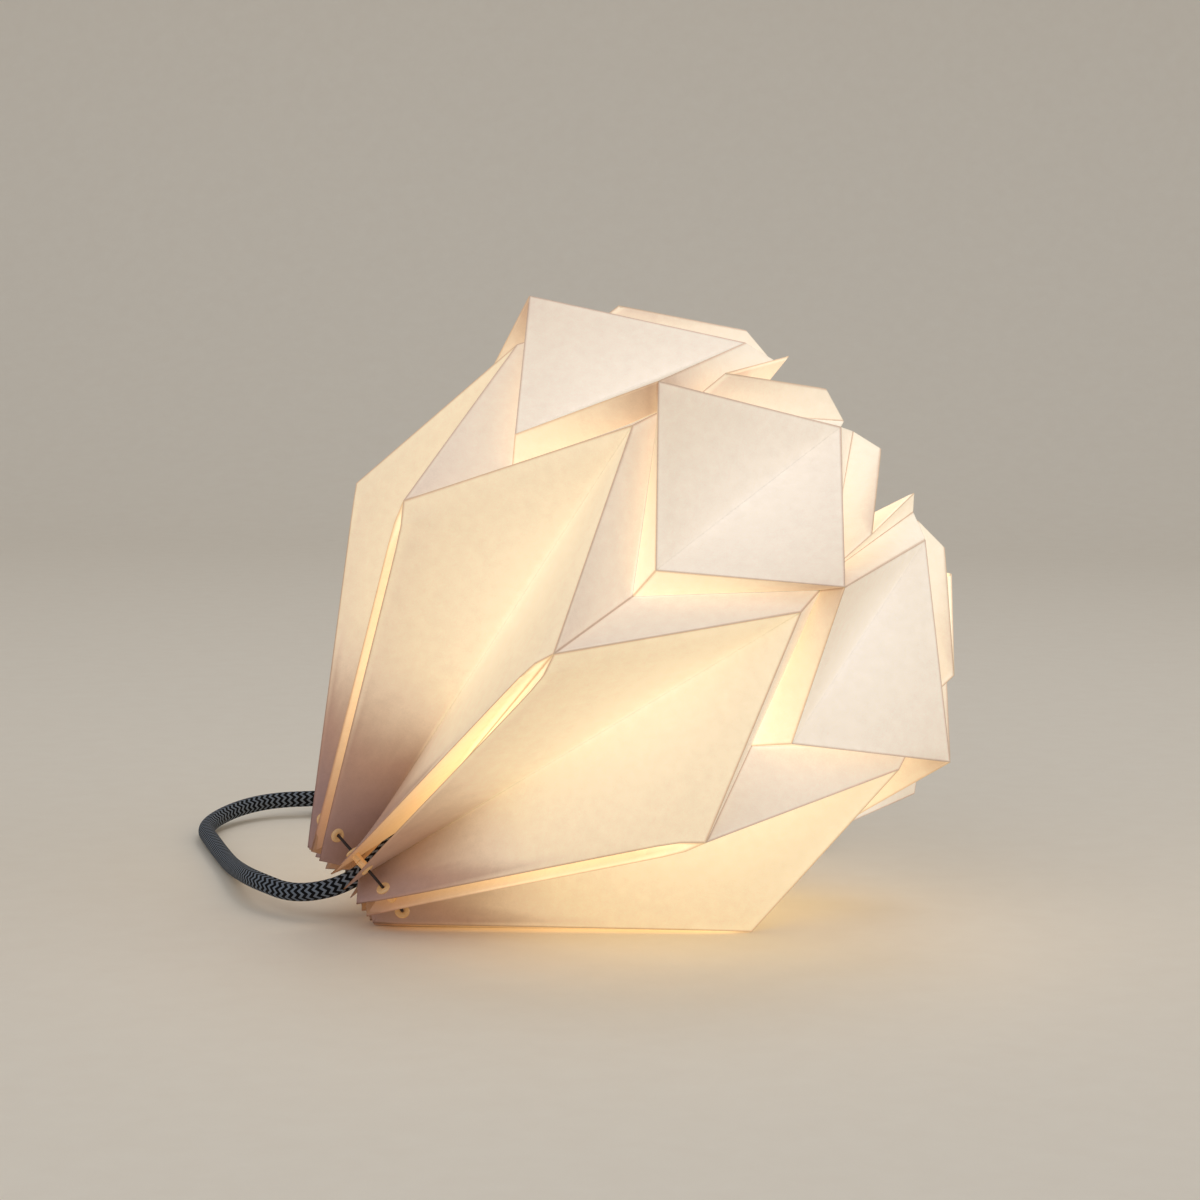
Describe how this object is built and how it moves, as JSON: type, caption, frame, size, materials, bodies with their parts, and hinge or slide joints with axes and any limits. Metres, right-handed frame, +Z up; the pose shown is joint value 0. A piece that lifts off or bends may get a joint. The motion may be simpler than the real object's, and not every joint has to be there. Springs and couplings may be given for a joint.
{
  "type": "pleated paper table lamp",
  "caption": "Table lamp with a folded paper shade drawn together at its neck, a screw-in bulb inside, and a textile flex with a rocker switch and a plug.",
  "frame": {"origin": "centre of the lamp's footprint box on the table, under the shade, without the flex and what is on it", "axes": "+Z up from the table; +X level from the shade's gathered neck towards its open mouth, in the plane that holds the lamp's own axis; -Y towards the viewer"},
  "size_m": [0.2662, 0.3566, 0.2371],
  "materials": {
    "shade_paper": "matt translucent fibrous paper, creased",
    "clear_plastic": "clear, polished",
    "dark_string": "matt braided cord",
    "holder_black": "satin moulded plastic",
    "holder_white": "moulded, off-white",
    "brass_plain": "plain, lightly tarnished",
    "screw_steel": "zinc plated",
    "core_brown": "soft insulation",
    "core_blue": "soft insulation",
    "bulb_clear": "clear blown glass",
    "cap_metal": "pressed thin metal",
    "black_glass": "glossy insulator",
    "stem_glass": "clear pressed glass",
    "filament_coat": "lit yellow coating",
    "wire_steel": "thin plain wire",
    "flex_braid": "woven textile braid, black and grey-blue chevrons",
    "tie_rubber": "matt",
    "switch_black": "fine texture",
    "rocker_black": "semi-gloss",
    "plug_black": "fine texture",
    "pin_metal": "nickel plated",
    "sleeve_black": "smooth"
  },
  "bodies": {
    "lamp": {"paper_shade": "shade_paper", "rib_eyelets": "clear_plastic", "drawstring": "dark_string", "holder_cap": "holder_black", "cord_grip": "holder_black", "grip_screw": "screw_steel", "holder_insert": "holder_white", "holder_barrel": "holder_black", "thread_shell": "brass_plain", "centre_contact": "brass_plain", "side_contact": "brass_plain", "terminal_screws": "screw_steel", "core_live": "core_brown", "core_neutral": "core_blue", "flex_lead": "flex_braid", "flex_run": "flex_braid", "flex_coil": "flex_braid", "flex_tail": "flex_braid", "coil_tie": "tie_rubber", "switch_base": "switch_black", "switch_cover": "switch_black", "rocker_pin": "screw_steel", "switch_screws": "screw_steel", "switch_contacts": "brass_plain", "plug_body": "plug_black", "plug_pins": "pin_metal", "pin_sleeves": "sleeve_black", "plug_relief": "plug_black"},
    "bulb_pip": {"bulb_tip_contact": "brass_plain"},
    "bulb": {"bulb_insulator": "black_glass", "bulb_cap": "cap_metal", "bulb_glass": "bulb_clear", "bulb_stem": "stem_glass", "bulb_filaments": "filament_coat", "filament_wires": "wire_steel"},
    "rocker": {"switch_rocker": "rocker_black"}
  },
  "joints": [
    {"name": "bulb_travel", "type": "slide", "parent": "lamp", "child": "bulb_pip", "axis": [0.7714, 0, 0.6363], "range_m": [0, 0.01815]},
    {"name": "bulb_turn", "type": "hinge", "parent": "bulb_pip", "child": "bulb", "pos_m": [0.03929, 0, 0.13938], "axis": [0.7714, 0, 0.6363], "range_deg": [0, 1800]},
    {"name": "switch_rock", "type": "hinge", "parent": "lamp", "child": "rocker", "pos_m": [-0.048, 0.217, 0.014], "axis": [0, 1, 0], "range_deg": [-18, 0]}
  ],
  "couplings": [
    {"joint": "bulb_travel", "follows": "bulb_turn", "m_per_rad": 0.0005776}
  ]
}
